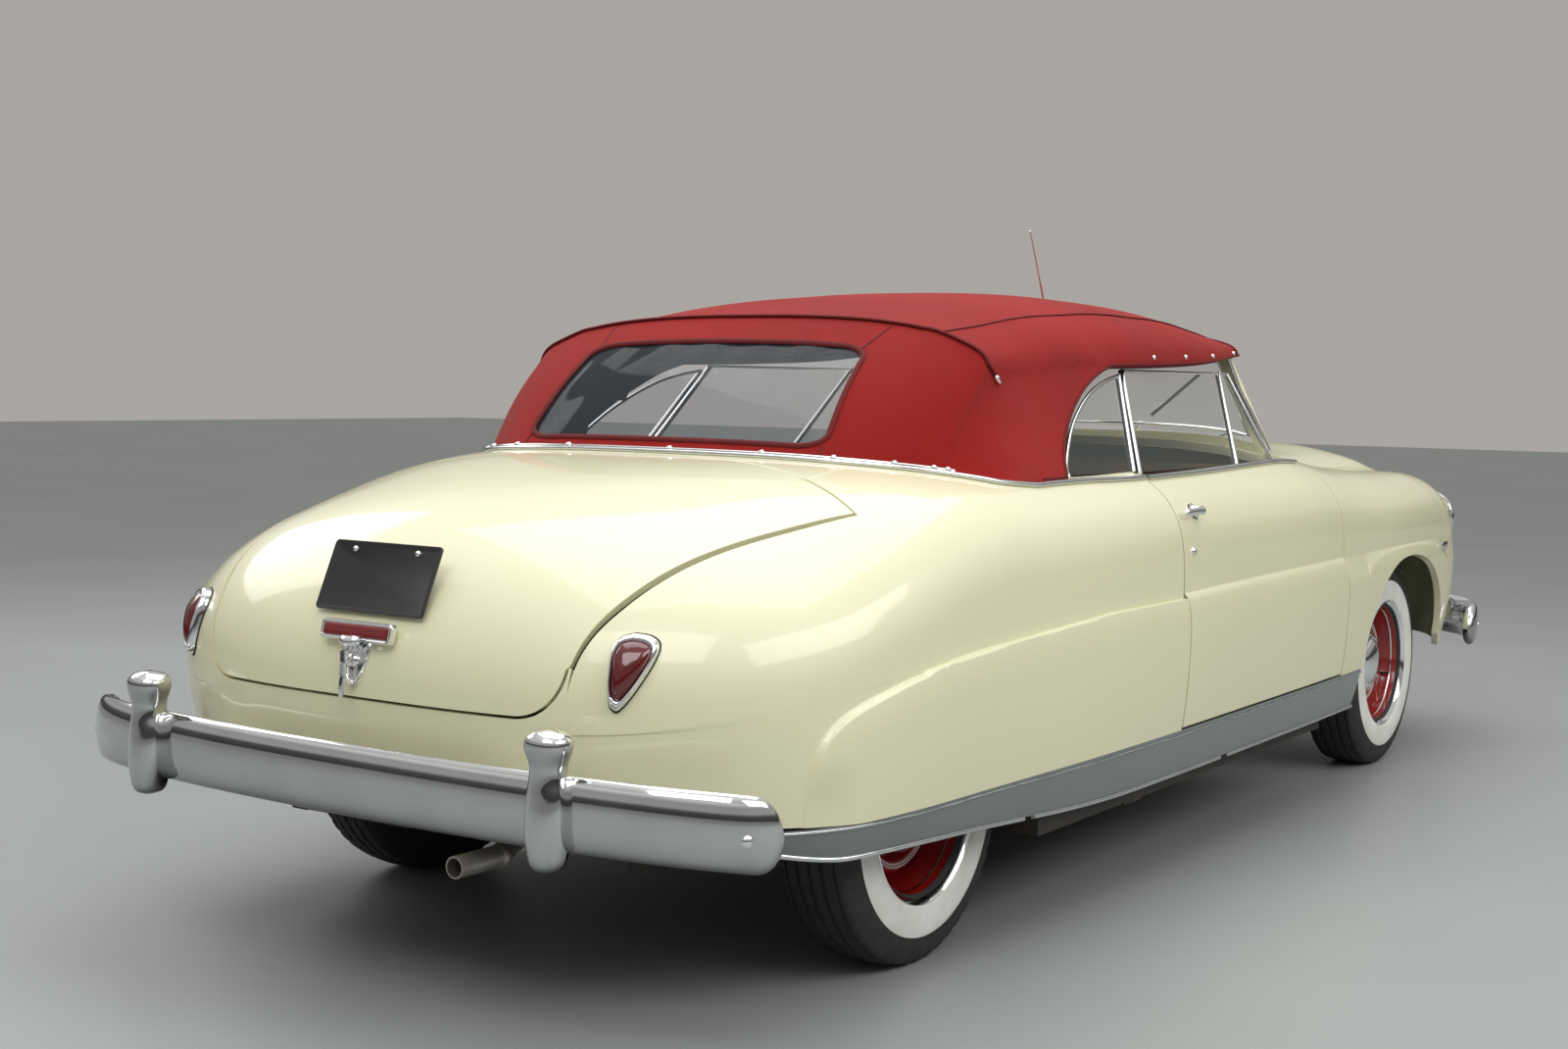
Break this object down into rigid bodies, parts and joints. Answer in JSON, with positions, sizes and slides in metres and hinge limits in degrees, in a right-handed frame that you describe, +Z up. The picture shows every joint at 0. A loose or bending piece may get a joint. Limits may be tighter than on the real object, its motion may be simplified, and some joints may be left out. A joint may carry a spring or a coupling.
{
  "type": "1950s convertible car",
  "caption": "Two-door step-floor convertible car with raised canvas top, opening doors, hood and deck lid, steering and rolling wheels.",
  "frame": {"origin": "on the ground, on the middle plane, half way along the overall length", "axes": "+Z up, +Y towards the rear, -Y the way it drives, +X the car's left side"},
  "size_m": [1.9576, 5.118, 1.7642],
  "materials": {
    "body_paint": "gloss",
    "underbody": "matt",
    "chassis_black": "satin",
    "chrome": "polished",
    "glass": "clear",
    "clear_vinyl": "clear, slightly hazy",
    "rocker_grey": "satin",
    "canvas": "woven canvas",
    "lamp_glass": "clear ribbed",
    "red_lens": "gloss",
    "dash_paint": "satin",
    "wheel_plastic": "gloss",
    "seat_leather": "soft",
    "engine_paint": "matt",
    "exhaust_steel": "dull",
    "tank_steel": "matt",
    "tyre": "matt",
    "wheel_paint": "gloss",
    "plate_black": "satin"
  },
  "bodies": {
    "shell": {"floor_pan": "underbody", "front_frame": "chassis_black", "splash_aprons": "chassis_black", "quarter_panels": "body_paint", "deck_panel": "body_paint", "tail_panel": "body_paint", "front_fender_left": "body_paint", "front_fender_right": "body_paint", "cowl": "body_paint", "nose": "body_paint", "grille": "chrome", "rocker_trims": "rocker_grey", "windshield_frame": "body_paint", "windshield_glass": "glass", "convertible_top": "canvas", "rear_window": "clear_vinyl", "quarter_glass": "glass", "front_bumper": "chrome", "rear_bumper": "chrome", "headlamps": "lamp_glass", "tail_lamps": "red_lens", "dashboard": "dash_paint", "steering_column": "dash_paint", "front_seat": "seat_leather", "rear_seat": "seat_leather", "engine_block": "engine_paint", "radiator": "chassis_black", "exhaust": "exhaust_steel", "prop_shaft": "chassis_black", "rear_axle": "chassis_black", "leaf_springs": "chassis_black", "fuel_tank": "tank_steel", "front_suspension": "chassis_black", "antenna": "chrome"},
    "door_left_body": {"door_left": "body_paint", "door_glass_left": "glass", "door_handle_left": "chrome"},
    "door_right_body": {"door_right": "body_paint", "door_glass_right": "glass", "door_handle_right": "chrome"},
    "hood_lid": {"hood": "body_paint"},
    "deck_lid": {"trunk_lid": "body_paint", "licence_plate": "plate_black", "lid_handle": "chrome"},
    "steering": {"steering_wheel": "wheel_plastic"},
    "upright_left": {"knuckle_left": "chassis_black"},
    "upright_right": {"knuckle_right": "chassis_black"},
    "road_wheel_front_left": {"tyre_front_left": "tyre", "wheel_front_left": "wheel_paint"},
    "road_wheel_front_right": {"tyre_front_right": "tyre", "wheel_front_right": "wheel_paint"},
    "road_wheel_rear_left": {"tyre_rear_left": "tyre", "wheel_rear_left": "wheel_paint"},
    "road_wheel_rear_right": {"tyre_rear_right": "tyre", "wheel_rear_right": "wheel_paint"}
  },
  "joints": [
    {"name": "door_left_hinge", "type": "hinge", "parent": "shell", "child": "door_left_body", "pos_m": [0.979, -0.704, 0.7], "axis": [0, 0, -1], "range_deg": [0, 65]},
    {"name": "door_right_hinge", "type": "hinge", "parent": "shell", "child": "door_right_body", "pos_m": [-0.979, -0.704, 0.7], "axis": [0, 0, 1], "range_deg": [0, 65]},
    {"name": "hood_hinge", "type": "hinge", "parent": "shell", "child": "hood_lid", "pos_m": [0, -2.249, 1.01], "axis": [1, 0, 0], "range_deg": [0, 50]},
    {"name": "deck_lid_hinge", "type": "hinge", "parent": "shell", "child": "deck_lid", "pos_m": [0, 1.512, 1.098], "axis": [1, 0, 0], "range_deg": [0, 60]},
    {"name": "steering_wheel_turn", "type": "hinge", "parent": "shell", "child": "steering", "pos_m": [0.37, -0.338, 0.96], "axis": [0, 0.891, 0.454], "range_deg": [-540, 540]},
    {"name": "steer_left", "type": "hinge", "parent": "shell", "child": "upright_left", "pos_m": [0.665, -1.507, 0.347], "axis": [0, 0, 1], "range_deg": [-30, 30]},
    {"name": "steer_right", "type": "hinge", "parent": "shell", "child": "upright_right", "pos_m": [-0.665, -1.507, 0.347], "axis": [0, 0, 1], "range_deg": [-30, 30]},
    {"name": "spin_front_left", "type": "hinge", "parent": "upright_left", "child": "road_wheel_front_left", "pos_m": [0.743, -1.507, 0.347], "axis": [1, 0, 0], "continuous": true},
    {"name": "spin_front_right", "type": "hinge", "parent": "upright_right", "child": "road_wheel_front_right", "pos_m": [-0.743, -1.507, 0.347], "axis": [1, 0, 0], "continuous": true},
    {"name": "spin_rear_left", "type": "hinge", "parent": "shell", "child": "road_wheel_rear_left", "pos_m": [0.705, 1.516, 0.347], "axis": [1, 0, 0], "continuous": true},
    {"name": "spin_rear_right", "type": "hinge", "parent": "shell", "child": "road_wheel_rear_right", "pos_m": [-0.705, 1.516, 0.347], "axis": [1, 0, 0], "continuous": true}
  ],
  "couplings": [
    {"joint": "steer_right", "follows": "steer_left", "ratio": 1},
    {"joint": "steering_wheel_turn", "follows": "steer_left", "ratio": 16}
  ]
}
